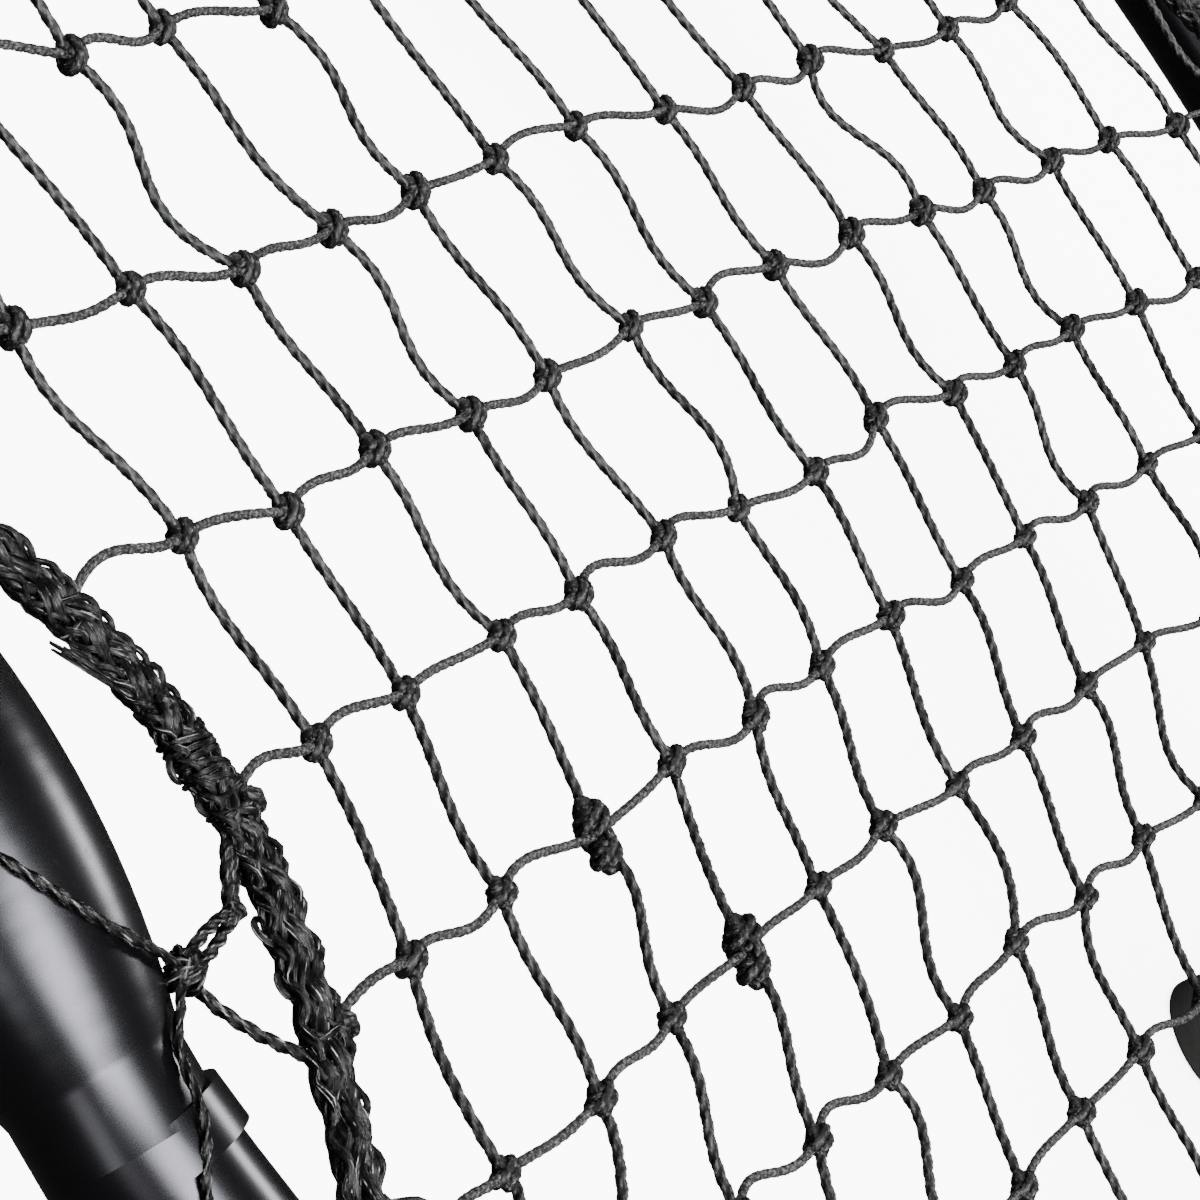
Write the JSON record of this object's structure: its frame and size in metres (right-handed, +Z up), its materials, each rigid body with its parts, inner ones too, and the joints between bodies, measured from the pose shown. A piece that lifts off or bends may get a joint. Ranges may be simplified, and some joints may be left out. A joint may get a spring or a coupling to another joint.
{
  "type": "roundnet_set",
  "caption": "Roundnet set: a slack knotted net with a braided hem tied inside a black ring that stands on folding legs",
  "frame": {"origin": "on the floor under the middle of the ring", "axes": "+Z up along the ring's axis; -Y towards the middle of the first hub, the one nearest the viewer; +X along that hub"},
  "size_m": [0.9307, 0.9437, 0.1975],
  "materials": {
    "rim_plastic": "smooth satin black moulded plastic with a soft sheen",
    "leg_plastic": "fine-grained black moulded plastic",
    "foot_rubber": "dull black rubber",
    "bright_steel": "plain bright steel",
    "dark_steel": "blackened steel",
    "net_twine": "laid black polyethylene twine, dull with a fine sheen on each strand",
    "hem_braid": "thick black braided cord with open plies and frayed ends",
    "tie_cord": "laid black twine pulled tight over the rim"
  },
  "bodies": {
    "ring": {"hub_1": "rim_plastic", "hub_2": "rim_plastic", "hub_3": "rim_plastic", "hub_4": "rim_plastic", "hub_5": "rim_plastic", "rim_arc_1": "rim_plastic", "rim_arc_2": "rim_plastic", "rim_arc_3": "rim_plastic", "rim_arc_4": "rim_plastic", "rim_arc_5": "rim_plastic", "button_spring_1": "bright_steel", "button_spring_2": "bright_steel", "button_spring_3": "bright_steel", "button_spring_4": "bright_steel", "button_spring_5": "bright_steel", "leg_pin_1": "bright_steel", "leg_pin_2": "bright_steel", "leg_pin_3": "bright_steel", "leg_pin_4": "bright_steel", "leg_pin_5": "bright_steel", "pin_caps": "dark_steel", "joint_screws": "dark_steel", "net_hooks": "rim_plastic", "hook_screws": "bright_steel", "net_mesh": "net_twine", "hem_rope": "hem_braid", "tension_cord": "tie_cord", "net_ties": "tie_cord"},
    "leg_1": {"leg_head_1": "leg_plastic", "leg_tube_1": "rim_plastic", "foot_pad_1": "foot_rubber"},
    "button_1": {"snap_button_1": "bright_steel"},
    "leg_2": {"leg_head_2": "leg_plastic", "leg_tube_2": "rim_plastic", "foot_pad_2": "foot_rubber"},
    "button_2": {"snap_button_2": "bright_steel"},
    "leg_3": {"leg_head_3": "leg_plastic", "leg_tube_3": "rim_plastic", "foot_pad_3": "foot_rubber"},
    "button_3": {"snap_button_3": "bright_steel"},
    "leg_4": {"leg_head_4": "leg_plastic", "leg_tube_4": "rim_plastic", "foot_pad_4": "foot_rubber"},
    "button_4": {"snap_button_4": "bright_steel"},
    "leg_5": {"leg_head_5": "leg_plastic", "leg_tube_5": "rim_plastic", "foot_pad_5": "foot_rubber"},
    "button_5": {"snap_button_5": "bright_steel"}
  },
  "joints": [
    {"name": "fold_leg_1", "type": "hinge", "parent": "ring", "child": "leg_1", "pos_m": [0, -0.435, 0.1285], "axis": [1, 0, 0], "range_deg": [0, 95]},
    {"name": "fold_leg_2", "type": "hinge", "parent": "ring", "child": "leg_2", "pos_m": [0.41371, -0.13442, 0.1285], "axis": [0.309, 0.9511, 0], "range_deg": [0, 95]},
    {"name": "fold_leg_3", "type": "hinge", "parent": "ring", "child": "leg_3", "pos_m": [0.25569, 0.35192, 0.1285], "axis": [-0.809, 0.5878, 0], "range_deg": [0, 95]},
    {"name": "fold_leg_4", "type": "hinge", "parent": "ring", "child": "leg_4", "pos_m": [-0.25569, 0.35192, 0.1285], "axis": [-0.809, -0.5878, 0], "range_deg": [0, 95]},
    {"name": "fold_leg_5", "type": "hinge", "parent": "ring", "child": "leg_5", "pos_m": [-0.41371, -0.13442, 0.1285], "axis": [0.309, -0.9511, 0], "range_deg": [0, 95]},
    {"name": "press_button_1", "type": "slide", "parent": "ring", "child": "button_1", "axis": [0, 0, 1], "range_m": [0, 0.009], "stiffness_N_per_m": 400, "springref_m": -0.006, "deforming": ["button_spring_1"]},
    {"name": "press_button_2", "type": "slide", "parent": "ring", "child": "button_2", "axis": [0, 0, 1], "range_m": [0, 0.009], "stiffness_N_per_m": 400, "springref_m": -0.006, "deforming": ["button_spring_2"]},
    {"name": "press_button_3", "type": "slide", "parent": "ring", "child": "button_3", "axis": [0, 0, 1], "range_m": [0, 0.009], "stiffness_N_per_m": 400, "springref_m": -0.006, "deforming": ["button_spring_3"]},
    {"name": "press_button_4", "type": "slide", "parent": "ring", "child": "button_4", "axis": [0, 0, 1], "range_m": [0, 0.009], "stiffness_N_per_m": 400, "springref_m": -0.006, "deforming": ["button_spring_4"]},
    {"name": "press_button_5", "type": "slide", "parent": "ring", "child": "button_5", "axis": [0, 0, 1], "range_m": [0, 0.009], "stiffness_N_per_m": 400, "springref_m": -0.006, "deforming": ["button_spring_5"]}
  ]
}
